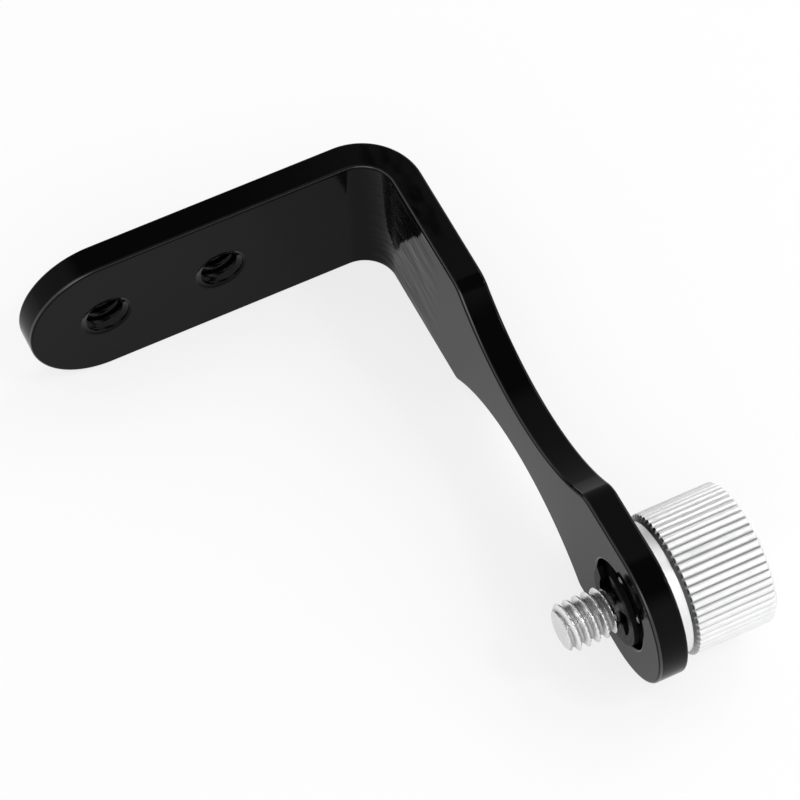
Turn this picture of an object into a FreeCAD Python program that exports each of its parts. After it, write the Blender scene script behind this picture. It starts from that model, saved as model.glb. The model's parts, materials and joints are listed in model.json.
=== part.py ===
"""L-shaped mounting bracket with a captive quarter-inch thumbscrew.

A steel flat bar is bent to an L. Its short leg, the foot, has two tapped holes. Its long leg, the
arm, narrows to a waist and ends in a round pad, where a thumbscrew passes through. A retaining clip
on the screw's neck sits over a recess in the pad and keeps the screw from falling out.

The bracket lies on its side edge: +Z runs across the width of the bar, the foot points to -X and
the arm to -Y. The origin is under the middle of the whole, on the surface it lies on.
"""
import FreeCAD, Part
import math
import os

V = FreeCAD.Vector

# ---- Thread, a quarter inch across, in the tapped holes and on the stud ----
thread_diameter = 6.35

# ---- Bracket: the bent bar ----
bar_thickness = 4.0
bar_width = 21.0
foot_length = 53.0             # from the arm's outer face to the tip of the foot
arm_length = 81.0              # from the foot's outer face to the tip of the arm
bend_inner_radius = 4.5
waist_start = 26.5             # from the foot's outer face
waist_length = 34.1
waist_width = 8.5
lower_waist_corner_radius = 1.5
upper_waist_corner_radius = 4.0
bar_edge_bevel = 0.3

# ---- Bracket: its holes ----
tapped_hole_end_distance = 10.5
tapped_hole_spacing = 16.0
tapped_hole_count = 2
tapped_hole_chamfer = 0.35
recess_diameter = 12.0
recess_depth = 1.0
recess_edge_chamfer = 0.25
screw_hole_clearance = 0.25    # all round the thread, which passes through on assembly

# ---- Knob: collar and knurled grip, turned from one bar ----
collar_diameter = 17.2
collar_length = 1.3
collar_chamfer = 0.25
grip_diameter = 18.6
grip_length = 11.7
grip_front_taper = 1.3         # length of the cone from the collar out to the ribs
grip_back_chamfer = 0.6
rib_count = 56
rib_depth = 0.38
rib_crest_width = 0.28
stud_bore_play = 0.5           # left free at the blind end of the bore

# ---- Stud: pressed into the knob ----
shank_diameter = 6.2
root_length = 9.0              # the part held in the knob
neck_diameter = 4.6
neck_setback = 0.4             # the neck starts this far below the floor of the recess
neck_play = 0.55               # neck left bare between the clip and the thread
stud_reach = 8.0               # beyond the arm's inner face
stud_tip_chamfer = 0.7
thread_run_out = 0.4

# ---- Retaining clip on the stud's neck ----
clip_diameter = 10.4
clip_thickness = 0.7
clip_ring_width = 1.4
clip_neck_clearance = 0.1
clip_mouth_width = 3.9
clip_tongue_width = 2.2
clip_jaw_width = 1.5
clip_mouth_angle = 50.0        # degrees from the side of the foot, up
screw_float = 0.95             # how far the screw and its clip slide back until the clip is stopped

# ---- Places worked out from the sizes above ----
bend_outer_radius = bend_inner_radius + bar_thickness
end_radius = bar_width / 2
middle_z = bar_width / 2
arm_face_x = (foot_length - collar_length - grip_length) / 2
foot_face_y = arm_length / 2
screw_y = foot_face_y - arm_length + end_radius
thread_radius = thread_diameter / 2
neck_radius = neck_diameter / 2
shank_radius = shank_diameter / 2
recess_floor = bar_thickness - recess_depth
clip_back = recess_floor + screw_float
neck_start = recess_floor - neck_setback
neck_end = clip_back + clip_thickness + neck_play
stud_tip = bar_thickness + stud_reach


# ---- Round bodies on the screw's axis ----
# Depth is measured from the arm's outer face, through the bar, towards the side that the foot is on.

def axis_point(depth):
    return V(arm_face_x - depth, screw_y, middle_z)


def turned(profile):
    """Revolve (depth, radius) corners about the screw's axis."""
    corners = [axis_point(depth) + V(0, radius, 0) for depth, radius in profile]
    face = Part.Face(Part.makePolygon(corners + corners[:1]))
    return face.revolve(axis_point(0), V(1, 0, 0), 360)


def rod(radius, start, end):
    return Part.makeCylinder(radius, end - start, axis_point(start), V(-1, 0, 0))


# ---- Bracket ----

def bent_bar():
    """The bar bent to an L, with square ends and straight sides."""
    left, right = arm_face_x - foot_length, arm_face_x
    top, low = foot_face_y, foot_face_y - arm_length
    inner_x, inner_y = right - bar_thickness, top - bar_thickness
    bend_x, bend_y = right - bend_outer_radius, top - bend_outer_radius
    diagonal = math.sqrt(0.5)

    def bend(radius, start, end):
        middle = V(bend_x + radius * diagonal, bend_y + radius * diagonal, 0)
        return Part.Arc(start, middle, end).toShape()

    outer_bend = (V(bend_x, top, 0), V(right, bend_y, 0))
    inner_bend = (V(inner_x, bend_y, 0), V(bend_x, inner_y, 0))
    foot_end = (V(left, inner_y, 0), V(left, top, 0))
    arm_end = (V(right, low, 0), V(inner_x, low, 0))
    outline = Part.Wire([
        Part.makeLine(foot_end[1], outer_bend[0]),
        bend(bend_outer_radius, *outer_bend),
        Part.makeLine(outer_bend[1], arm_end[0]),
        Part.makeLine(*arm_end),
        Part.makeLine(arm_end[1], inner_bend[0]),
        bend(bend_inner_radius, *inner_bend),
        Part.makeLine(inner_bend[1], foot_end[0]),
        Part.makeLine(*foot_end),
    ])
    return Part.Face(outline).extrude(V(0, 0, bar_width))


def end_trim(center, outward, through):
    """What a full-round end takes off a square one: a block less a cylinder across the bar."""
    size = end_radius
    span = through * bar_thickness
    first = center + V(0, 0, -size)
    last = center + outward * size + span + V(0, 0, size)
    low = V(min(first.x, last.x), min(first.y, last.y), first.z)
    block = Part.makeBox(abs(last.x - first.x), abs(last.y - first.y), bar_width, low)
    return block.cut(Part.makeCylinder(size, bar_thickness, center, through))


def waist_cutter(side):
    """A long shallow scallop in one edge of the arm; side is -1 for the lower edge and 1 for the upper."""
    half_length = waist_length / 2
    dip = (bar_width - waist_width) / 2
    radius = (half_length ** 2 + dip ** 2) / (2 * dip)
    center = V(arm_face_x - bar_thickness, foot_face_y - waist_start - half_length,
               middle_z + side * (waist_width / 2 + radius))
    return Part.makeCylinder(radius, bar_thickness, center, V(1, 0, 0))


def waist_corners(bar, side):
    """The two edges where a scallop meets the straight side; side is -1 or 1, as for its cutter."""
    stations = [foot_face_y - waist_start, foot_face_y - waist_start - waist_length]
    return [edge for edge in bar.Edges
            if abs(edge.tangentAt(edge.FirstParameter).x) > 0.999
            and min(abs(edge.CenterOfMass.y - station) for station in stations) < 1e-4
            and (edge.CenterOfMass.z - middle_z) * side > 0]


def skin_rims(bar):
    """The edges round the bar's two skins, without its bend lines and its lines across the thickness."""
    rims = []
    for edge in bar.Edges:
        if isinstance(edge.Curve, Part.Line):
            direction = edge.tangentAt(edge.FirstParameter)
            beyond_bend = edge.CenterOfMass.y < foot_face_y - bend_outer_radius
            across = direction.x if beyond_bend else direction.y
            if abs(direction.z) > 0.999 or abs(across) > 0.999:
                continue
        rims.append(edge)
    return rims


def tapped_hole(number):
    """The bore at the thread's outer diameter, opened by a chamfer at both faces of the foot."""
    x = arm_face_x - foot_length + tapped_hole_end_distance + number * tapped_hole_spacing
    outer = V(x, foot_face_y, middle_z)
    inner = V(x, foot_face_y - bar_thickness, middle_z)
    rim = thread_radius + tapped_hole_chamfer
    bore = Part.makeCylinder(thread_radius, bar_thickness, outer, V(0, -1, 0))
    outer_cone = Part.makeCone(rim, thread_radius, tapped_hole_chamfer, outer, V(0, -1, 0))
    inner_cone = Part.makeCone(rim, thread_radius, tapped_hole_chamfer, inner, V(0, 1, 0))
    return bore.fuse([outer_cone, inner_cone])


def screw_hole():
    """A clearance hole for the thread, with the clip's recess on the inner face."""
    hole_radius = thread_radius + screw_hole_clearance
    recess_radius = recess_diameter / 2
    return turned([
        (0, 0),
        (0, hole_radius),
        (recess_floor, hole_radius),
        (recess_floor, recess_radius),
        (bar_thickness - recess_edge_chamfer, recess_radius),
        (bar_thickness, recess_radius + recess_edge_chamfer),
        (bar_thickness, 0),
    ])


def make_bracket():
    foot_center = V(arm_face_x - foot_length + end_radius, foot_face_y - bar_thickness, middle_z)
    arm_center = V(arm_face_x - bar_thickness, screw_y, middle_z)
    bar = bent_bar().cut([
        end_trim(foot_center, V(-1, 0, 0), V(0, 1, 0)),
        end_trim(arm_center, V(0, -1, 0), V(1, 0, 0)),
        waist_cutter(-1),
        waist_cutter(1),
    ])
    bar = bar.makeFillet(lower_waist_corner_radius, waist_corners(bar, -1))
    bar = bar.makeFillet(upper_waist_corner_radius, waist_corners(bar, 1))
    bar = bar.makeChamfer(bar_edge_bevel, skin_rims(bar))
    return bar.cut([tapped_hole(number) for number in range(tapped_hole_count)] + [screw_hole()])


# ---- Knob ----

def ribbed_rod(start, end):
    """A straight-knurled rod: V grooves between narrow crests, all round."""
    crest_radius = grip_diameter / 2
    root_radius = crest_radius - rib_depth
    crest_angle = rib_crest_width / crest_radius
    pitch_angle = 2 * math.pi / rib_count
    corners = []
    for rib in range(rib_count):
        middle = rib * pitch_angle
        for radius, angle in ((crest_radius, middle - crest_angle / 2),
                              (crest_radius, middle + crest_angle / 2),
                              (root_radius, middle + pitch_angle / 2)):
            corners.append(axis_point(start) + V(0, radius * math.cos(angle), radius * math.sin(angle)))
    section = Part.Face(Part.makePolygon(corners + corners[:1]))
    return section.extrude(axis_point(end) - axis_point(start))


def make_knob():
    """Collar and grip, bored from the collar's face for the stud."""
    back = -collar_length - grip_length
    crest_radius = grip_diameter / 2
    collar_radius = collar_diameter / 2
    envelope = turned([
        (back, 0),
        (back, crest_radius - grip_back_chamfer),
        (back + grip_back_chamfer, crest_radius),
        (-collar_length - grip_front_taper, crest_radius),
        (-collar_length, collar_radius),
        (-collar_length, 0),
    ])
    collar = turned([
        (-collar_length, 0),
        (-collar_length, collar_radius),
        (-collar_chamfer, collar_radius),
        (0, collar_radius - collar_chamfer),
        (0, 0),
    ])
    grip = ribbed_rod(back, -collar_length).common(envelope)
    return grip.fuse(collar).cut(rod(shank_radius, -root_length - stud_bore_play, 0))


# ---- Stud ----

def make_stud():
    """Root and shank, the thinner neck that carries the clip, and the threaded end."""
    return turned([
        (-root_length, 0),
        (-root_length, shank_radius),
        (neck_start, shank_radius),
        (neck_start, neck_radius),
        (neck_end, neck_radius),
        (neck_end, thread_radius - thread_run_out),
        (neck_end + thread_run_out, thread_radius),
        (stud_tip - stud_tip_chamfer, thread_radius),
        (stud_tip, thread_radius - stud_tip_chamfer),
        (stud_tip, 0),
    ])


# ---- Retaining clip ----

def clip_bar(low, high, near, far):
    """A straight bar of the clip: from low to high across the mouth, from near to far along it."""
    corner = axis_point(clip_back + clip_thickness) + V(0, near, low)
    return Part.makeBox(clip_thickness, far - near, high - low, corner)


def make_clip():
    """An open ring with a tongue and two jaws that reach in to the neck; its mouth lies along +Y."""
    outer_radius = clip_diameter / 2
    relief_radius = outer_radius - clip_ring_width
    half_mouth = clip_mouth_width / 2
    half_tongue = clip_tongue_width / 2
    back, front = clip_back, clip_back + clip_thickness
    ring = rod(outer_radius, back, front).cut(rod(relief_radius, back, front))
    tongue = clip_bar(-half_tongue, half_tongue, -relief_radius - clip_ring_width / 2, 0)
    jaws = [clip_bar(low, low + relief_radius, 0, clip_jaw_width)
            for low in (half_mouth, -half_mouth - relief_radius)]
    jaws = [jaw.common(rod(outer_radius, back, front)) for jaw in jaws]
    mouth = clip_bar(-half_mouth, half_mouth, 0, outer_radius)
    bore = rod(neck_radius + clip_neck_clearance, back, front)
    clip = ring.fuse([tongue] + jaws).cut([mouth, bore])
    clip.rotate(axis_point(0), V(1, 0, 0), clip_mouth_angle)
    return clip


def save(name, shape):
    solid = shape.removeSplitter()
    if len(solid.Solids) != 1 or not solid.isValid():
        raise ValueError(name + " is not one valid solid")
    solid.Solids[0].exportStep("parts/" + name + ".step")
    print(name, round(solid.Volume, 2), solid.BoundBox)


os.makedirs("parts", exist_ok=True)
save("bracket", make_bracket())
save("knob", make_knob())
save("stud", make_stud())
save("retaining_clip", make_clip())
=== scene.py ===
"""Dresses an L-shaped mounting bracket and its captive thumbscrew.

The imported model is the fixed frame. The bent bar, the knob and the stud are rebuilt here with their
paint, cut threads and knurl; the retaining clip keeps its own solid and gets a finish.
"""
import json
import math

import bpy
import numpy as np
from mathutils import Matrix, Vector
from mathutils.geometry import tessellate_polygon


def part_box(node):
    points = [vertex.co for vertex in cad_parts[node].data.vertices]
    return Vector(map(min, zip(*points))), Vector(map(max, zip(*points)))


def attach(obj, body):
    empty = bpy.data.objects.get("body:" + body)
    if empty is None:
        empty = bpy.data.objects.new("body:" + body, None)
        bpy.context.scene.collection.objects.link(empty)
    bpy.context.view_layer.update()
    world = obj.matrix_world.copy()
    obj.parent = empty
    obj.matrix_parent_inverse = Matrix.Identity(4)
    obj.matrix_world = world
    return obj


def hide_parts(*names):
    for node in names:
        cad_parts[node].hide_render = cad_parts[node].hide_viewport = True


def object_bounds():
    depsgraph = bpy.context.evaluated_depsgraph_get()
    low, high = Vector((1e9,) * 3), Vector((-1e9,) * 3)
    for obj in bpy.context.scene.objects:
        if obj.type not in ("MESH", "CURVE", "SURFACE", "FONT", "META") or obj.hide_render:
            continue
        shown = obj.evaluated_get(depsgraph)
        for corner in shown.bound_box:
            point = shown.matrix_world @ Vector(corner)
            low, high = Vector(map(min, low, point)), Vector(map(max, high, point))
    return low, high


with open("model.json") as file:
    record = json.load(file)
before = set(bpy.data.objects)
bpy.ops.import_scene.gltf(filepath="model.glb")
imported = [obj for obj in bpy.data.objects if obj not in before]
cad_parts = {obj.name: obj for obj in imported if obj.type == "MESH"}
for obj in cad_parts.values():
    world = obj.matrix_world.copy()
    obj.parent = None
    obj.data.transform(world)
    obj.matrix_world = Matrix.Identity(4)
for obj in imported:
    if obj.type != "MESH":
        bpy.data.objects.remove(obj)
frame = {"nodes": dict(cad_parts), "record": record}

bl_info = {
    "name": "Captive thumbscrew bracket",
    "version": (1, 0, 0),
    "blender": (4, 5, 0),
    "location": "3D View > Sidebar > Bracket",
    "description": "Bent bar bracket with a knurled captive thumbscrew, its finishes and a studio",
    "category": "Object",
}

MM = 0.001

# ---- Places and sizes that the frame fixes, in metres ----
CAD_LOW, CAD_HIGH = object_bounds()
BAR_LOW, BAR_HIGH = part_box("bracket")
KNOB_LOW, KNOB_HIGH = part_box("knob")
STUD_LOW, STUD_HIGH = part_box("stud")
CLIP_LOW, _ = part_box("retaining_clip")
MOUNTS = {mount["name"]: mount for mount in frame["record"]["mounts"]}
TAPPED_HOLES = ("foot_hole_outer", "foot_hole_inner")

ARM_FACE_X = BAR_HIGH.x
FOOT_FACE_Y = BAR_HIGH.y
BAR_WIDTH = BAR_HIGH.z - BAR_LOW.z
PAD_FACE_X = MOUNTS["pad_face"]["pos_m"][0]
BAR_THICKNESS = ARM_FACE_X - PAD_FACE_X
FOOT_LENGTH = ARM_FACE_X - BAR_LOW.x
ARM_LENGTH = FOOT_FACE_Y - BAR_LOW.y
THREAD_RADIUS = MOUNTS["stud"]["dims"]["r_mm"] * MM
SCREW_CENTER = Vector((ARM_FACE_X, MOUNTS["stud"]["pos_m"][1], MOUNTS["stud"]["pos_m"][2]))
KNOB_RADIUS = (KNOB_HIGH.y - KNOB_LOW.y) / 2
KNOB_BACK = KNOB_HIGH.x - SCREW_CENTER.x
STUD_TIP = STUD_LOW.x - SCREW_CENTER.x
STUD_ROOT = STUD_HIGH.x - SCREW_CENTER.x

# ---- How finely the meshes are cut ----
RIM_POINTS = 96
HOLE_ROWS = 80
STUD_POINTS = 120
STUD_ROWS_PER_TURN = 24
POINTS_PER_RIB = 12
TAPER_ROWS = 12
KNOB_SHARP_DEGREES = 28
STUD_SHARP_DEGREES = 40


# ---- The lamps: name, the way they stand off, size in metres and the setting with their power ----
LAMP_DISTANCE = 0.9
LAMPS = (
    ("left_lamp", (-0.40, -0.55, 0.73), 0.6, "key_watts"),
    ("front_right_lamp", (0.75, -0.45, 0.48), 0.6, "key_watts"),
    ("top_right_lamp", (0.62, 0.25, 0.74), 0.45, "key_watts"),
    ("spark_lamp", (0.45, -0.35, 0.82), 0.12, "spark_watts"),
)

# ---- The room as gloss sees it: where each zone fades, along +X (right) and +Y (back) ----
GREY_RIGHT, GREY_BACK = (0.215, 0.25), (0.2, 0.4)
LEFT_ZONE, RIGHT_ZONE, FRONT_ZONE = (-0.5, -0.15), (0.35, 0.6), (-0.85, -0.45)


# ---- Sizes and colours that a user may change ----

def length(name, description, millimetres):
    return bpy.props.FloatProperty(name=name, description=description, default=millimetres * MM,
                                   min=0.0, precision=5, unit="LENGTH")


def color(name, description, red, green, blue):
    return bpy.props.FloatVectorProperty(name=name, description=description, subtype="COLOR",
                                         default=(red, green, blue), min=0.0, max=1.0)


def amount(name, description, value, largest=1.0):
    return bpy.props.FloatProperty(name=name, description=description, default=value,
                                   min=0.0, max=largest)


def angle(name, description, degrees):
    return bpy.props.FloatProperty(name=name, description=description,
                                   default=math.radians(degrees), subtype="ANGLE", unit="ROTATION")


class BracketSettings(bpy.types.PropertyGroup):
    bend_radius: length("Bend radius", "Inside radius of the bend", 4.5)
    edge_round: length("Edge rounding", "Radius of the rounding along the bar's edges", 0.4)
    waist_start: length("Waist start", "From the foot's outer face to the waist", 26.5)
    waist_length: length("Waist length", "Length of the scallops along the arm", 34.1)
    waist_width: length("Waist width", "Width of the arm at its narrowest", 8.5)
    upper_corner: length("Upper waist corner", "Radius at the ends of the upper scallop", 4.0)
    lower_corner: length("Lower waist corner", "Radius at the ends of the lower scallop", 1.5)
    hole_chamfer: length("Hole chamfer", "Chamfer at both ends of the tapped holes", 0.35)
    hole_chamfer_depth: length("Hole chamfer depth", "How deep that chamfer goes", 0.15)
    thread_start: angle("Thread start", "Turn of the thread in the tapped holes", -15)
    recess_diameter: length("Recess diameter", "Recess round the screw's hole", 12.0)
    recess_depth: length("Recess depth", "Depth of the recess", 1.0)
    recess_edge: length("Recess edge", "Rounding of the recess's edge", 0.25)
    hole_clearance: length("Hole clearance", "Gap between the thread and the screw's hole", 0.25)
    paint: color("Paint", "Gloss paint on the bar", 0.0012, 0.0012, 0.0013)
    paint_roughness: amount("Paint roughness", "Roughness of the gloss paint", 0.07)
    orange_peel: length("Orange peel", "Height of the waviness of the paint", 0.003)
    press_marks: length("Press marks", "Height of the marks left beside the bend", 0.3)


class ThumbscrewSettings(bpy.types.PropertyGroup):
    rib_count: bpy.props.IntProperty(name="Ribs", description="Ribs round the grip", default=56, min=8)
    rib_depth: length("Rib depth", "Depth of the grooves between the ribs", 0.38)
    rib_crest: length("Rib crest", "Width of the flat top of a rib", 0.45)
    collar_diameter: length("Collar diameter", "Smooth collar between pad and grip", 17.2)
    collar_length: length("Collar length", "Length of the collar", 1.6)
    front_taper: length("Front taper", "Length of the cone from the collar out to the ribs", 0.65)
    collar_chamfer: length("Collar chamfer", "Chamfer of the collar's free edge", 0.25)
    back_chamfer: length("Back chamfer", "Chamfer of the grip's back edge", 0.6)
    thread_pitch: length("Thread pitch", "Distance from crest to crest", 1.27)
    neck_diameter: length("Neck diameter", "Thin part of the stud that carries the clip", 4.6)
    neck_play: length("Neck play", "Bare neck between the clip and the thread", 0.55)
    neck_setback: length("Neck setback", "Start of the neck below the recess floor", 0.4)
    shank_diameter: length("Shank diameter", "Plain part of the stud", 6.2)
    run_out: length("Run-out", "Drop of the thread's crest where it meets the neck", 0.75)
    tip_chamfer: length("Tip chamfer", "Chamfer at the stud's tip", 0.7)
    knob_metal: color("Knob metal", "Turned and knurled knob", 0.90, 0.90, 0.90)
    stud_metal: color("Stud metal", "Plated stud", 0.87, 0.87, 0.87)
    clip_metal: color("Clip metal", "Blackened spring steel", 0.006, 0.006, 0.0063)
    knob_roughness: amount("Knob roughness", "Roughness of the knob's metal", 0.42)
    # Painted shade: these darken the colour of the knob's grooves, its front cone, and the stud's thread
    # roots and neck.
    painted_shade_in_grooves: amount("Groove shade", "Darkening at the bottom of the knob's grooves", 0.5)
    painted_shade_on_cone: amount("Cone shade", "Darkening of the knob's front cone", 0.38)
    painted_shade_on_stud: amount("Root shade", "Darkening at the root of the stud's thread", 0.45)
    root_width: length("Root width", "How far below the crest that darkening starts", 0.15)
    stud_roughness: amount("Stud roughness", "Roughness of the stud's metal", 0.25)


class StageSettings(bpy.types.PropertyGroup):
    floor_color: color("Floor", "Colour of the plain floor", 0.94, 0.94, 0.94)
    floor_white: amount("Floor white", "Share of plain white in the floor as the camera sees it", 0.75)
    floor_gloss: amount("Floor in gloss", "Share of plain white in the floor as gloss sees it", 0.35)
    sky_light: amount("Sky light", "Brightness of the room's light on dull surfaces", 0.6, 4.0)
    dim_room: amount("Dim room", "Brightness of the dark side of the room in gloss", 0.12, 4.0)
    left_room: amount("Left room", "Brightness of the left side of the room in gloss", 0.65, 4.0)
    grey_room: amount("Grey room", "Brightness added at the back, right of the middle, in gloss", 0.45, 4.0)
    bright_room: amount("Bright room", "Brightness of the right side of the room in gloss", 1.0, 4.0)
    key_watts: amount("Soft lamps", "Power of each soft lamp in watts", 1.6, 100.0)
    spark_watts: amount("Small lamp", "Power of the small lamp in watts", 0.8, 100.0)
    camera_azimuth: angle("Camera azimuth", "Round the object; zero looks along +Y", -24.725)
    camera_elevation: angle("Camera elevation", "Above the horizon", 57.232)
    camera_roll: angle("Camera roll", "Tilt of the camera about its own view", -1.643)
    camera_distance: length("Camera distance", "From the point it looks at", 500.5)
    camera_aim: bpy.props.FloatVectorProperty(
        name="Camera aim", description="The point that the camera looks at", unit="LENGTH",
        default=(5.240 * MM, 8.324 * MM, 10.606 * MM), precision=5)
    camera_lens: bpy.props.FloatProperty(name="Camera lens", description="Focal length in millimetres",
                                         default=179.787, min=10.0)


# ---- Mesh helpers ----

class Surface:
    """Collects faces whose corners carry their own normals, and welds corners at the same place."""

    def __init__(self):
        self.points, self.places, self.faces, self.normals, self.slots = [], {}, [], [], []

    def corner(self, point, normal):
        key = tuple(round(value, 8) for value in point)
        if key not in self.places:
            self.places[key] = len(self.points)
            self.points.append(key)
        return self.places[key], tuple(normal)

    def face(self, corners, slot=0):
        """Adds one face, turned so that it looks the way its normals point."""
        distinct = [c for i, c in enumerate(corners) if c[0] != corners[i - 1][0]]
        if len(distinct) < 3:
            return
        a, b, c = (Vector(self.points[distinct[i][0]]) for i in (0, 1, 2))
        facing = sum((Vector(normal) for _, normal in distinct), Vector())
        if (b - a).cross(c - b).dot(facing) < 0:
            distinct.reverse()
        self.faces.append([index for index, _ in distinct])
        self.normals.extend(normal for _, normal in distinct)
        self.slots.append(slot)

    def grid(self, rows, slot=0):
        """Adds the quads between rows of (point, normal) pairs."""
        rows = [[self.corner(*pair) for pair in row] for row in rows]
        for upper, lower in zip(rows, rows[1:]):
            for i in range(len(upper) - 1):
                self.face([upper[i], upper[i + 1], lower[i + 1], lower[i]], slot)

    def build(self, name):
        mesh = bpy.data.meshes.new(name)
        mesh.from_pydata(self.points, [], self.faces)
        mesh.polygons.foreach_set("material_index", self.slots)
        mesh.shade_smooth()
        mesh.normals_split_custom_set(self.normals)
        mesh.update()
        return link(name, mesh)


def link(name, mesh, place=(0, 0, 0)):
    piece = bpy.data.objects.new(name, mesh)
    piece.location = place
    bpy.context.scene.collection.objects.link(piece)
    return piece


def turned_mesh(name, depths, radii, sharp_degrees, place):
    """A closed mesh about the X axis: one ring per depth, whose radii may vary round it."""
    count = radii.shape[1]
    angles = np.arange(count) * 2 * math.pi / count
    points = np.empty((len(depths), count, 3))
    points[..., 0] = np.asarray(depths)[:, None]
    points[..., 1] = radii * np.cos(angles)
    points[..., 2] = radii * np.sin(angles)
    faces = []
    for ring in range(len(depths) - 1):
        for i in range(count):
            after = (i + 1) % count
            low, high = ring * count, (ring + 1) * count
            faces.append((low + i, high + i, high + after, low + after))
    last = (len(depths) - 1) * count
    faces.append(tuple(range(count)))
    faces.append(tuple(reversed(range(last, last + count))))
    mesh = bpy.data.meshes.new(name)
    mesh.from_pydata(points.reshape(-1, 3).tolist(), [], faces)
    mesh.shade_smooth()
    mesh.set_sharp_from_angle(angle=math.radians(sharp_degrees))
    mesh.update()
    return link(name, mesh, place)


def thread_dip(pitch, angles, depths):
    """How far below its crest a sixty-degree thread lies, as rows of depths by angles."""
    height = pitch * math.sqrt(3) / 2
    crest_flat, root_flat = 1 / 8, 1 / 4
    turn = depths[:, None] / pitch - angles[None, :] / (2 * math.pi)
    from_crest = np.abs((turn % 1.0) - 0.5)
    slope = (0.5 - from_crest - crest_flat / 2) / (0.5 - crest_flat / 2 - root_flat / 2)
    slope = np.clip(slope, 0.0, 1.0)
    return slope * height * (1 - crest_flat - root_flat)


# ---- Shader helpers ----

class Signal:
    """A node's output that can stand in a sum; every operator adds one Math node."""

    def __init__(self, nodes, socket):
        self.nodes, self.socket = nodes, socket

    def math(self, operation, first, second):
        return self.nodes.add("ShaderNodeMath", {"operation": operation}, {0: first, 1: second})

    def __add__(self, other):
        return self.math("ADD", self, other)

    def __radd__(self, other):
        return self.math("ADD", other, self)

    def __sub__(self, other):
        return self.math("SUBTRACT", self, other)

    def __rsub__(self, other):
        return self.math("SUBTRACT", other, self)

    def __mul__(self, other):
        return self.math("MULTIPLY", self, other)

    def __rmul__(self, other):
        return self.math("MULTIPLY", other, self)

    def __truediv__(self, other):
        return self.math("DIVIDE", self, other)

    def __rtruediv__(self, other):
        return self.math("DIVIDE", other, self)

    def __pow__(self, other):
        return self.math("POWER", self, other)


class Nodes:
    """One node tree, and the one way to add a node to it."""

    def __init__(self, tree):
        self.tree = tree
        self.tree.nodes.clear()

    def make(self, kind, settings=None, inputs=None):
        node = self.tree.nodes.new(kind)
        for key, value in (settings or {}).items():
            setattr(node, key, value)
        for key, value in (inputs or {}).items():
            if isinstance(value, Signal):
                self.tree.links.new(value.socket, node.inputs[key])
            else:
                node.inputs[key].default_value = value
        return node

    def add(self, kind, settings=None, inputs=None, output=0):
        return Signal(self, self.make(kind, settings, inputs).outputs[output])

    def place(self):
        """The point on the surface, in the object's own metres."""
        return self.add("ShaderNodeTexCoord", output="Object")

    def split(self, vector):
        node = self.make("ShaderNodeSeparateXYZ", None, {0: vector})
        return [Signal(self, socket) for socket in node.outputs]

    def noise(self, vector, per_metre, detail=2.0, roughness=0.5):
        return self.add("ShaderNodeTexNoise", None,
                        {"Vector": vector, "Scale": per_metre, "Detail": detail, "Roughness": roughness})

    def ramp(self, value, *stops):
        return self.add("ShaderNodeMapRange", {"interpolation_type": "SMOOTHSTEP"},
                        {0: value, 1: stops[0], 2: stops[1], 3: stops[2], 4: stops[3]})

    def between(self, value, start, end, blur):
        """One from start to end and zero outside, with soft ends."""
        return self.ramp(value, start, start + blur, 0.0, 1.0) * self.ramp(value, end - blur, end, 1.0, 0.0)

    def blend(self, factor, first, second):
        return self.add("ShaderNodeMix", {"data_type": "RGBA"}, {0: factor, 6: first, 7: second}, output=2)

    def bump(self, height, metres):
        return self.add("ShaderNodeBump", None, {"Height": height, "Distance": metres, "Strength": 1.0})

    def rays(self, kind):
        return self.add("ShaderNodeLightPath", output=kind)

    def seen(self):
        """One for what the camera sees straight, in gloss or through glass, and zero for dull light."""
        every = self.rays("Is Camera Ray") + self.rays("Is Glossy Ray") + self.rays("Is Transmission Ray")
        return self.add("ShaderNodeMath", {"operation": "MINIMUM"}, {0: every, 1: 1.0})

    def surface(self, inputs):
        shader = self.add("ShaderNodeBsdfPrincipled", None, inputs)
        self.make("ShaderNodeOutputMaterial", None, {"Surface": shader})
        return shader


def new_material(name):
    material = bpy.data.materials.new(name)
    material.use_nodes = True
    return material, Nodes(material.node_tree)


def rgba(tint, scale=1.0):
    return (tint[0] * scale, tint[1] * scale, tint[2] * scale, 1.0)


# ---- Materials ----

PAINT_GLASS_INDEX = 1.18
PEEL_PER_METRE = 700
CLOUDS_PER_METRE = 120
MARKS_PER_METRE = (70, 70, 280)

# Even coats: the grain's fineness, its tones, the part of the noise that counts and what it does.
EDGE_GLOSS = {"per_metre": 1800, "tones": (0.8, 1.6), "span": (0.2, 0.8), "roughness": (0.08, 0.16),
              "glass_index": 1.65, "height": 0.004 * MM}
THREAD_GLOSS = {**EDGE_GLOSS, "glass_index": 1.25}
RECESS_BLACK = {"per_metre": 2200, "tones": (0.8, 1.6), "span": (0.2, 0.8), "roughness": (0.3, 0.42),
                "glass_index": 1.04, "height": 0.008 * MM}
BLACK_OXIDE = {"per_metre": 1500, "tones": (0.7, 1.5), "span": (0.3, 0.7), "roughness": (0.28, 0.4),
               "glass_index": 1.15, "height": 0.01 * MM}


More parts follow.
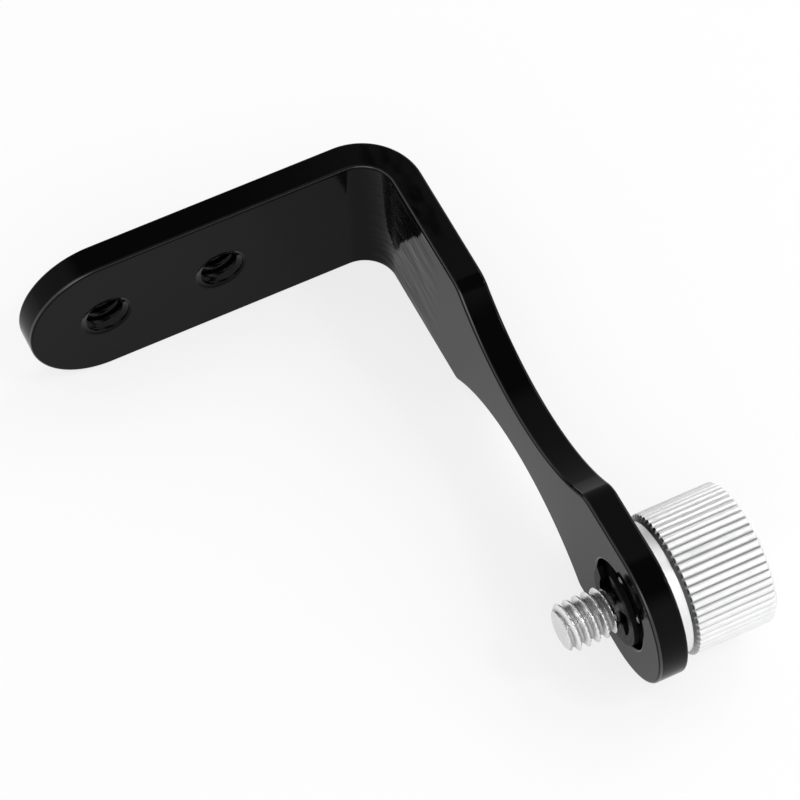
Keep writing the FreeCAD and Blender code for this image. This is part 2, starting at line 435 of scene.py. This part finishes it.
def gloss_paint(settings):
    """Gloss black paint: orange peel, a slightly uneven gloss and press marks along the bar at the bend."""
    material, nodes = new_material("gloss_black_paint")
    place = nodes.place()
    x, y, _ = nodes.split(place)
    peel = nodes.noise(place, PEEL_PER_METRE, 2.0, 0.45)
    clouds = nodes.noise(place, CLOUDS_PER_METRE, 3.0, 0.55)
    drawn_out = nodes.add("ShaderNodeVectorMath", {"operation": "MULTIPLY"}, {0: place, 1: MARKS_PER_METRE})
    marks = nodes.noise(drawn_out, 1.0, 3.0, 0.55)
    fade_in = PAD_FACE_X - settings.bend_radius / 2
    fade_out = FOOT_FACE_Y - settings.waist_start
    near_bend = (nodes.ramp(x, fade_in, PAD_FACE_X, 0.0, 1.0)
                 * nodes.ramp(y, fade_out + BAR_THICKNESS, fade_out + 3 * BAR_THICKNESS, 0.0, 1.0))
    height = peel * settings.orange_peel + (marks - 0.5) * near_bend * settings.press_marks
    roughness = settings.paint_roughness
    nodes.surface({
        "Base Color": nodes.blend(clouds, rgba(settings.paint, 0.8), rgba(settings.paint, 1.3)),
        "Roughness": nodes.ramp(clouds, 0.3, 0.7, roughness * 0.8, roughness * 1.3),
        "IOR": PAINT_GLASS_INDEX,
        "Normal": nodes.bump(height, 1.0),
    })
    return material


def even_coat(name, tint, per_metre, tones, span, roughness, glass_index, height):
    """A coat whose tone, roughness and surface follow one fine grain."""
    material, nodes = new_material(name)
    grain = nodes.noise(nodes.place(), per_metre, 3.0, 0.6)
    nodes.surface({
        "Base Color": nodes.blend(grain, rgba(tint, tones[0]), rgba(tint, tones[1])),
        "Roughness": nodes.ramp(grain, *span, *roughness),
        "IOR": glass_index,
        "Normal": nodes.bump(grain, height),
    })
    return material


ZONE_BLUR = 0.08 * MM
WEAR_PER_METRE = 700
GROOVE_DULLNESS = 0.15
SHADE_BAND_ROUGHNESS = 0.15
KNOB_LINES = (0.09 * MM, 0.02 * MM)
STUD_LINES = (0.08 * MM, 0.005 * MM)


def turned_metal(name, tint, roughness, lines, grooves, shade_band):
    """Bright metal with fine turning lines round the X axis and along it.

    lines is their (pitch, height). grooves is (start, end, bottom, top, shade): between start and end
    along the axis the colour darkens to shade from the top radius down to the bottom one, as painted
    shade in the grooves. The last argument is (start, end, shade) of a stretch with painted shade all
    round.
    """
    material, nodes = new_material(name)
    place = nodes.place()
    x, y, z = nodes.split(place)
    radius = (y * y + z * z) ** 0.5
    travel = x + radius
    tool_marks = nodes.add("ShaderNodeTexNoise", {"noise_dimensions": "1D"},
                           {"W": travel / lines[0], "Scale": 1.0, "Detail": 2.0})
    wear = nodes.noise(place, WEAR_PER_METRE, 4.0, 0.6)
    start, end, bottom, top, shade = grooves
    # Painted shade: the colour darkens towards the bottom of the grooves and thread roots.
    depth = nodes.between(x, start, end, ZONE_BLUR) * nodes.ramp(radius, bottom, top, 1.0, 0.0)
    # Painted shade: a stretch whose colour is darkened all round, the knob's front cone beside the bar or
    # the stud's neck.
    shade_band_mask = nodes.between(x, shade_band[0], shade_band[1], ZONE_BLUR)
    unshaded_tone = nodes.blend(nodes.ramp(wear, 0.2, 0.8, 0.0, 1.0), rgba(tint, 0.95), rgba(tint, 1.01))
    painted_groove_shade = nodes.blend(depth, unshaded_tone, rgba(tint, shade))
    gloss = nodes.ramp(wear, 0.25, 0.75, roughness * 0.8, roughness * 1.25)
    nodes.surface({
        "Base Color": nodes.blend(shade_band_mask, painted_groove_shade, rgba(tint, shade_band[2])),
        "Metallic": 1.0,
        "Roughness": gloss + depth * GROOVE_DULLNESS - shade_band_mask * (roughness - SHADE_BAND_ROUGHNESS),
        "Normal": nodes.bump(tool_marks + wear * 0.5, lines[1]),
    })
    return material


# ---- The bent bar ----

class BarPath:
    """Maps flat-bar coordinates to the bent bar.

    q runs along the bar from the foot to the arm and is zero where the bend starts, t runs across
    its width, and h runs through its thickness from the outer skin to the inner one, about the middle.
    """

    def __init__(self, settings):
        self.inner_radius = settings.bend_radius
        self.outer_radius = self.inner_radius + BAR_THICKNESS
        self.middle_radius = self.inner_radius + BAR_THICKNESS / 2
        self.bend_length = self.middle_radius * math.pi / 2
        self.foot_straight = FOOT_LENGTH - self.outer_radius
        self.arm_straight = ARM_LENGTH - self.outer_radius
        self.bend_x = ARM_FACE_X - self.outer_radius
        self.bend_y = FOOT_FACE_Y - self.outer_radius
        self.middle_z = (BAR_LOW.z + BAR_HIGH.z) / 2

    def arm_station(self, from_foot_face):
        """q of a station on the arm, given its distance from the foot's outer face."""
        return self.bend_length + from_foot_face - self.outer_radius

    def axes(self, q):
        """A point on the bar's middle line, the way along it and the way towards the inner skin."""
        turn = min(max(q / self.bend_length, 0.0), 1.0) * math.pi / 2
        along = Vector((math.cos(turn), -math.sin(turn), 0))
        inward = Vector((-math.sin(turn), -math.cos(turn), 0))
        center = Vector((self.bend_x, self.bend_y, self.middle_z))
        beyond = min(q, 0.0) + max(q - self.bend_length, 0.0)
        return center - inward * self.middle_radius + along * beyond, along, inward

    def at(self, q, t, h, normal):
        """The bent place and normal of a flat point; normal is given along q, t and h."""
        middle, along, inward = self.axes(q)
        up = Vector((0, 0, 1))
        point = middle + inward * h + up * t
        return point, along * normal[0] + up * normal[1] + inward * normal[2]


def arc(center, radius, start, end, steps, outward=1):
    """(q, t, normal q, normal t) along an arc; outward is -1 where the bar lies outside the arc."""
    samples = []
    for i in range(steps + 1):
        turn = start + (end - start) * i / steps
        along, across = math.cos(turn), math.sin(turn)
        samples.append((center[0] + radius * along, center[1] + radius * across,
                        outward * along, outward * across))
    return samples


def half_outline(path, settings, corner):
    """One side of the outline in flat coordinates, from the tip of the foot to the tip of the arm."""
    half_width = BAR_WIDTH / 2
    foot_center = -path.foot_straight + half_width
    arm_center = path.bend_length + path.arm_straight - half_width
    half_length = settings.waist_length / 2
    dip = half_width - settings.waist_width / 2
    scallop = (half_length ** 2 + dip ** 2) / (2 * dip)
    scallop_q = path.arm_station(settings.waist_start + half_length)
    scallop_t = settings.waist_width / 2 + scallop
    corner_t = half_width - corner
    reach = math.sqrt((scallop + corner) ** 2 - (scallop_t - corner_t) ** 2)
    lean = math.atan2(reach, scallop_t - corner_t)
    bend_steps, arc_steps, corner_steps, scallop_steps = 24, 32, 8, 48
    up = math.pi / 2
    samples = arc((foot_center, 0), half_width, math.pi, up, arc_steps)
    samples += [(path.bend_length * i / bend_steps, half_width, 0, 1) for i in range(bend_steps + 1)]
    samples += arc((scallop_q - reach, corner_t), corner, up, up - lean, corner_steps)
    samples += arc((scallop_q, scallop_t), scallop, -up - lean, -up + lean, scallop_steps, -1)
    samples += arc((scallop_q + reach, corner_t), corner, up + lean, up, corner_steps)
    samples += arc((arm_center, 0), half_width, up, 0, arc_steps)
    return samples


def edge_profile(rounding):
    """(inset, h, normal out, normal h) from the outer skin round the bar's side to the inner skin."""
    steps = 6
    half = BAR_THICKNESS / 2
    inner = []
    for i in range(steps + 1):
        turn = i / steps * math.pi / 2
        inner.append((rounding * (1 - math.sin(turn)), half - rounding * (1 - math.cos(turn)),
                      math.sin(turn), math.cos(turn)))
    outer = [(inset, -h, out, -up) for inset, h, out, up in inner]
    return outer + inner[::-1]


def hole_rim(q, radius):
    """Points round a hole in flat coordinates, the first one given again at the end."""
    turns = [i * 2 * math.pi / RIM_POINTS for i in range(RIM_POINTS + 1)]
    return [(q + radius * math.cos(turn), radius * math.sin(turn)) for turn in turns]


def flat_skin(surface, path, outline, rims, h):
    """One flat stretch of skin, with its holes."""
    loops = [outline] + [rim[:-1] for rim in rims]
    flat = [point for loop in loops for point in loop]
    facing = (0, 0, math.copysign(1, h))
    corners = [surface.corner(*path.at(q, t, h, facing)) for q, t in flat]
    for triangle in tessellate_polygon([[(q, t, 0) for q, t in loop] for loop in loops]):
        surface.face([corners[i] for i in triangle])


def bored_wall(surface, path, q, rows, slot):
    """The wall of a hole, from rows of (radius, h, normal away from the axis, normal h)."""
    grid = []
    for radius, h, out, up in rows:
        row = []
        for flat_q, flat_t in hole_rim(q, radius):
            way = ((flat_q - q) / radius, flat_t / radius)
            row.append(path.at(flat_q, flat_t, h, (way[0] * out, way[1] * out, up)))
        grid.append(row)
    surface.grid(grid, slot)


def tapped_wall(surface, path, q, settings, pitch, slot):
    """A tapped hole from skin to skin: chamfer, cut thread, chamfer."""
    half = BAR_THICKNESS / 2
    angles = np.arange(RIM_POINTS + 1) * 2 * math.pi / RIM_POINTS
    heights = np.linspace(-half, half, HOLE_ROWS + 1)
    minor = THREAD_RADIUS - pitch * math.sqrt(3) / 2 * 5 / 8
    radii = minor + thread_dip(pitch, angles + settings.thread_start, heights)
    below = half - np.abs(heights) - settings.hole_chamfer_depth
    run_out_slope = 3.0
    chamfer_slope = settings.hole_chamfer / settings.hole_chamfer_depth
    mouth = THREAD_RADIUS - np.where(below > 0, run_out_slope, chamfer_slope) * below
    radii = np.maximum(radii, mouth[:, None])
    slope = np.gradient(radii, heights, axis=0)
    twist = np.gradient(radii, angles, axis=1) / radii
    grid = []
    for i, h in enumerate(heights):
        row = []
        for j, turn in enumerate(angles):
            along, across = math.cos(turn), math.sin(turn)
            normal = Vector((-along - twist[i, j] * across, -across + twist[i, j] * along, slope[i, j]))
            normal.normalize()
            row.append(path.at(q + radii[i, j] * along, radii[i, j] * across, h, normal))
        grid.append(row)
    chamfer_rows = round(settings.hole_chamfer_depth / (heights[1] - heights[0]))
    surface.grid(grid[:chamfer_rows + 1])
    surface.grid(grid[chamfer_rows:-chamfer_rows], slot)
    surface.grid(grid[-chamfer_rows - 1:])


def screw_hole_wall(surface, path, q, settings, slot):
    """The recess with its rounded edge, its floor and the clearance hole for the thread."""
    half = BAR_THICKNESS / 2
    recess = settings.recess_diameter / 2
    hole = THREAD_RADIUS + settings.hole_clearance
    floor = half - settings.recess_depth
    edge = settings.recess_edge
    steps = 5
    rounded = []
    for i in range(steps + 1):
        turn = i / steps * math.pi / 2
        rounded.append((recess + edge * (1 - math.sin(turn)), half - edge * (1 - math.cos(turn)),
                        -math.sin(turn), math.cos(turn)))
    bored_wall(surface, path, q, rounded, 1)
    bored_wall(surface, path, q, [(recess, half - edge, -1, 0), (recess, floor, -1, 0)], slot)
    bored_wall(surface, path, q, [(recess, floor, 0, 1), (hole, floor, 0, 1)], slot)
    bored_wall(surface, path, q, [(hole, floor, -1, 0), (hole, -half, -1, 0)], slot)


def make_bar(settings, pitch):
    path = BarPath(settings)
    half_width = BAR_WIDTH / 2
    half = BAR_THICKNESS / 2
    rounding = settings.edge_round
    upper = half_outline(path, settings, settings.upper_corner)
    lower = [(q, -t, nq, -nt) for q, t, nq, nt in half_outline(path, settings, settings.lower_corner)]
    outline = upper + lower[-2::-1]
    surface = Surface()
    rows = [[path.at(q - nq * inset, t - nt * inset, h, (nq * out, nt * out, up))
             for q, t, nq, nt in outline]
            for inset, h, out, up in edge_profile(rounding)]
    side = len(rows) // 2
    glossy = side // 2
    surface.grid(rows[:side])
    surface.grid(rows[side - 1:side + 1])
    surface.grid(rows[side:side + glossy + 1], 1)
    surface.grid(rows[side + glossy:])

    inset = [(q - nq * rounding, t - nt * rounding) for q, t, nq, nt in outline[:-1]]
    foot_loop = [point for point in inset if point[0] <= 1e-9]
    arm_loop = [point for point in inset if point[0] >= path.bend_length - 1e-9]
    stations = {}
    for name in TAPPED_HOLES:
        stations[name] = MOUNTS[name]["pos_m"][0] - path.bend_x
        tapped_wall(surface, path, stations[name], settings, pitch, 3)
    screw_station = path.arm_station(FOOT_FACE_Y - SCREW_CENTER.y)
    screw_hole_wall(surface, path, screw_station, settings, 2)

    mouth = THREAD_RADIUS + settings.hole_chamfer
    for h in (-half, half):
        flat_skin(surface, path, foot_loop, [hole_rim(q, mouth) for q in stations.values()], h)
        recess_mouth = settings.recess_diameter / 2 + settings.recess_edge
        arm_mouth = recess_mouth if h > 0 else THREAD_RADIUS + settings.hole_clearance
        flat_skin(surface, path, arm_loop, [hole_rim(screw_station, arm_mouth)], h)
        facing = (0, 0, math.copysign(1, h))
        edge = half_width - rounding
        bends = sorted({q for q, t in inset if -1e-9 <= q <= path.bend_length + 1e-9 and t > edge - 1e-9})
        surface.grid([[path.at(q, edge, h, facing), path.at(q, -edge, h, facing)] for q in bends])
    return surface.build("bar_painted")


# ---- The thumbscrew ----

def make_knob(settings):
    """Collar and knurled grip, about the X axis through the screw's center."""
    count = settings.rib_count * POINTS_PER_RIB
    angles = np.arange(count) * 2 * math.pi / count
    crest = KNOB_RADIUS
    pitch = 2 * math.pi * crest / settings.rib_count
    from_crest = np.abs((angles * settings.rib_count / (2 * math.pi) + 0.5) % 1.0 - 0.5) * pitch
    half_crest = settings.rib_crest / 2
    dip = np.clip((from_crest - half_crest) / (pitch / 2 - half_crest), 0, 1) * settings.rib_depth
    ribs = crest - dip
    collar = settings.collar_diameter / 2
    bevel = settings.collar_chamfer
    shoulder = settings.collar_length
    ring = np.ones(count)
    depths = [0.0, 0.0, bevel, shoulder]
    radii = [ring * (collar - bevel) * 0.5, ring * (collar - bevel), ring * collar, ring * collar]
    for i in range(1, TAPER_ROWS + 1):
        depths.append(shoulder + settings.front_taper * i / TAPER_ROWS)
        radii.append(np.minimum(ribs, collar + (crest - collar) * i / TAPER_ROWS))
    depths.append((shoulder + KNOB_BACK) / 2)
    radii.append(ribs)
    for i in range(TAPER_ROWS + 1):
        depth = KNOB_BACK - settings.back_chamfer * (1 - i / TAPER_ROWS)
        depths.append(depth)
        radii.append(np.minimum(ribs, crest - settings.back_chamfer + (KNOB_BACK - depth)))
    depths.append(KNOB_BACK)
    radii.append(ring * crest * 0.5)
    return turned_mesh("knob_knurled", depths, np.array(radii), KNOB_SHARP_DEGREES, SCREW_CENTER)


def thread_end(settings):
    """Where the stud's thread stops and its neck starts, along X from the screw's center."""
    return CLIP_LOW.x - settings.neck_play - SCREW_CENTER.x


def make_stud(settings, recess_depth):
    """Shank, neck and cut thread, about the X axis through the screw's center."""
    angles = np.arange(STUD_POINTS) * 2 * math.pi / STUD_POINTS
    neck_end = thread_end(settings)
    neck = settings.neck_diameter / 2
    shank = settings.shank_diameter / 2
    neck_start = PAD_FACE_X + recess_depth + settings.neck_setback - SCREW_CENTER.x
    ring = np.ones(STUD_POINTS)
    steps = int((neck_end - STUD_TIP) / settings.thread_pitch * STUD_ROWS_PER_TURN)
    thread_depths = np.linspace(STUD_TIP, neck_end, steps + 1)
    radii = THREAD_RADIUS - thread_dip(settings.thread_pitch, angles, thread_depths)
    tip_limit = THREAD_RADIUS - settings.tip_chamfer + (thread_depths - STUD_TIP)
    start_limit = THREAD_RADIUS - settings.run_out + (neck_end - thread_depths)
    radii = np.minimum(radii, np.minimum(tip_limit, start_limit)[:, None])
    depths = np.concatenate([[STUD_TIP], thread_depths, [neck_end, neck_start, neck_start, STUD_ROOT]])
    radii = np.concatenate([[ring * THREAD_RADIUS * 0.3], radii,
                            [ring * neck, ring * neck, ring * shank, ring * shank]])
    return turned_mesh("stud_threaded", depths, radii, STUD_SHARP_DEGREES, SCREW_CENTER)


# ---- Stage ----

def make_floor(settings):
    span = 3.0
    gap = 0.02 * MM
    mesh = bpy.data.meshes.new("studio_floor")
    corners = [(-span, -span, 0), (span, -span, 0), (span, span, 0), (-span, span, 0)]
    mesh.from_pydata(corners, [], [(0, 1, 2, 3)])
    floor = link("studio_floor", mesh, (0, 0, BAR_LOW.z - gap))
    material, nodes = new_material("studio_floor")
    plain = nodes.add("ShaderNodeBsdfDiffuse", None, {"Color": rgba(settings.floor_color)})
    white = nodes.add("ShaderNodeEmission", None, {"Color": (1, 1, 1, 1), "Strength": 1.0})
    mirrored = nodes.rays("Is Glossy Ray") + nodes.rays("Is Transmission Ray")
    share = nodes.rays("Is Camera Ray") * settings.floor_white + mirrored * settings.floor_gloss
    both = nodes.add("ShaderNodeMixShader", None, {0: share, 1: plain, 2: white})
    nodes.make("ShaderNodeOutputMaterial", None, {"Surface": both})
    mesh.materials.append(material)


def make_world(settings):
    world = bpy.data.worlds.new("studio")
    bpy.context.scene.world = world
    world.use_nodes = True
    nodes = Nodes(world.node_tree)
    way = nodes.add("ShaderNodeTexCoord", output="Generated")
    right, back, _ = nodes.split(way)
    grey = nodes.ramp(right, *GREY_RIGHT, 0.0, settings.grey_room) * nodes.ramp(back, *GREY_BACK, 0.0, 1.0)
    left = nodes.ramp(right, *LEFT_ZONE, settings.left_room, 0.0)
    side = nodes.ramp(right, *RIGHT_ZONE, settings.dim_room, settings.bright_room) + grey + left
    front = nodes.ramp(back, *FRONT_ZONE, 1.0, 0.0)
    room = side + front * (settings.bright_room - side)
    gloss = nodes.rays("Is Glossy Ray")
    white = nodes.rays("Is Camera Ray") + nodes.rays("Is Transmission Ray")
    strength = white + gloss * room + (1 - nodes.seen()) * settings.sky_light
    background = nodes.add("ShaderNodeBackground", None, {"Color": (1, 1, 1, 1), "Strength": strength})
    nodes.make("ShaderNodeOutputWorld", None, {"Surface": background})


def make_lamp(name, center, way, size, power):
    """A soft square lamp that stands off along way and looks back at the center."""
    lamp = bpy.data.lights.new(name, "AREA")
    lamp.shape = "SQUARE"
    lamp.size = size
    lamp.energy = power
    holder = bpy.data.objects.new(name, lamp)
    way = way.normalized()
    holder.location = center + way * LAMP_DISTANCE
    holder.rotation_mode = "QUATERNION"
    holder.rotation_quaternion = way.to_track_quat("Z", "Y")
    bpy.context.scene.collection.objects.link(holder)


def make_camera(settings):
    data = bpy.data.cameras.new("camera")
    data.lens = settings.camera_lens
    data.sensor_width = 36.0
    data.clip_start = 0.01
    data.clip_end = 20.0
    camera = bpy.data.objects.new("camera", data)
    azimuth, elevation = settings.camera_azimuth, settings.camera_elevation
    back = Vector((math.sin(azimuth) * math.cos(elevation), -math.cos(azimuth) * math.cos(elevation),
                   math.sin(elevation)))
    camera.location = Vector(settings.camera_aim) + back * settings.camera_distance
    camera.rotation_mode = "QUATERNION"
    level = (-back).to_track_quat("-Z", "Y")
    camera.rotation_quaternion = level @ Matrix.Rotation(settings.camera_roll, 4, "Z").to_quaternion()
    bpy.context.scene.collection.objects.link(camera)
    bpy.context.scene.camera = camera


# ---- Operators ----

class BRACKET_OT_bar(bpy.types.Operator):
    """Build the painted bent bar with its tapped holes"""
    bl_idname = "bracket.bar"
    bl_label = "Painted bar"

    def execute(self, context):
        settings = context.scene.bracket_bar
        bar = make_bar(settings, context.scene.bracket_thumbscrew.thread_pitch)
        bar.data.materials.append(gloss_paint(settings))
        bar.data.materials.append(even_coat("edge_gloss", settings.paint, **EDGE_GLOSS))
        bar.data.materials.append(even_coat("recess_black", settings.paint, **RECESS_BLACK))
        bar.data.materials.append(even_coat("thread_gloss", settings.paint, **THREAD_GLOSS))
        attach(bar, "bracket")
        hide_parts("bracket")
        return {"FINISHED"}


class BRACKET_OT_thumbscrew(bpy.types.Operator):
    """Build the knurled knob and the threaded stud"""
    bl_idname = "bracket.thumbscrew"
    bl_label = "Thumbscrew"

    def execute(self, context):
        settings = context.scene.bracket_thumbscrew
        knob = make_knob(settings)
        shoulder = settings.collar_length
        # Painted shade in the colour of the knob's grooves and of its front cone.
        ribs = (shoulder, KNOB_BACK - settings.back_chamfer / 2, KNOB_RADIUS - settings.rib_depth,
                KNOB_RADIUS - settings.rib_depth / 4, settings.painted_shade_in_grooves)
        cone = (shoulder, shoulder + settings.front_taper, settings.painted_shade_on_cone)
        knob.data.materials.append(turned_metal("turned_knob_metal", settings.knob_metal,
                                                settings.knob_roughness, KNOB_LINES, ribs, cone))
        stud = make_stud(settings, context.scene.bracket_bar.recess_depth)
        neck_end = thread_end(settings)
        # Painted shade in the colour of the stud's thread roots and of its neck.
        threads = (STUD_TIP + ZONE_BLUR / 2, neck_end, settings.neck_diameter / 2,
                   THREAD_RADIUS - settings.root_width, settings.painted_shade_on_stud)
        neck = (neck_end, STUD_ROOT, settings.painted_shade_on_stud)
        stud.data.materials.append(turned_metal("plated_stud_metal", settings.stud_metal,
                                                settings.stud_roughness, STUD_LINES, threads, neck))
        for piece, node, slot in ((knob, "knob", "knob_metal"), (stud, "stud", "screw_steel")):
            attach(piece, "thumbscrew")
            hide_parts(node)
        return {"FINISHED"}


class BRACKET_OT_clip(bpy.types.Operator):
    """Give the retaining clip its blackened finish"""
    bl_idname = "bracket.clip"
    bl_label = "Retaining clip"

    def execute(self, context):
        clip = frame["nodes"]["retaining_clip"]
        finish = even_coat("black_oxide", context.scene.bracket_thumbscrew.clip_metal, **BLACK_OXIDE)
        for slot in clip.material_slots:
            slot.material = finish
        return {"FINISHED"}


class BRACKET_OT_stage(bpy.types.Operator):
    """Build the floor, the lamps, the sky and the camera"""
    bl_idname = "bracket.stage"
    bl_label = "Stage"

    def execute(self, context):
        settings = context.scene.bracket_stage
        make_floor(settings)
        make_world(settings)
        center = (CAD_LOW + CAD_HIGH) / 2
        for name, way, size, power in LAMPS:
            make_lamp(name, center, Vector(way), size, getattr(settings, power))
        make_camera(settings)
        context.scene.view_settings.view_transform = "Standard"
        return {"FINISHED"}


class BRACKET_PT_panel(bpy.types.Panel):
    """Lists the pieces and their sizes"""
    bl_idname = "BRACKET_PT_panel"
    bl_label = "Captive thumbscrew bracket"
    bl_space_type = "VIEW_3D"
    bl_region_type = "UI"
    bl_category = "Bracket"

    def draw(self, context):
        for operator, settings in ((BRACKET_OT_bar, context.scene.bracket_bar),
                                   (BRACKET_OT_thumbscrew, context.scene.bracket_thumbscrew),
                                   (BRACKET_OT_clip, None),
                                   (BRACKET_OT_stage, context.scene.bracket_stage)):
            box = self.layout.box()
            box.operator(operator.bl_idname)
            for name in (settings.__annotations__ if settings else ()):
                box.prop(settings, name)


GROUPS = (BracketSettings, ThumbscrewSettings, StageSettings)
OPERATORS = (BRACKET_OT_bar, BRACKET_OT_thumbscrew, BRACKET_OT_clip, BRACKET_OT_stage)


def register():
    for item in GROUPS + OPERATORS + (BRACKET_PT_panel,):
        bpy.utils.register_class(item)
    bpy.types.Scene.bracket_bar = bpy.props.PointerProperty(type=BracketSettings)
    bpy.types.Scene.bracket_thumbscrew = bpy.props.PointerProperty(type=ThumbscrewSettings)
    bpy.types.Scene.bracket_stage = bpy.props.PointerProperty(type=StageSettings)


def unregister():
    del bpy.types.Scene.bracket_stage
    del bpy.types.Scene.bracket_thumbscrew
    del bpy.types.Scene.bracket_bar
    for item in reversed(GROUPS + OPERATORS + (BRACKET_PT_panel,)):
        bpy.utils.unregister_class(item)


def main():
    register()
    bpy.ops.bracket.bar()
    bpy.ops.bracket.thumbscrew()
    bpy.ops.bracket.clip()
    bpy.ops.bracket.stage()


if __name__ == "__main__":
    main()
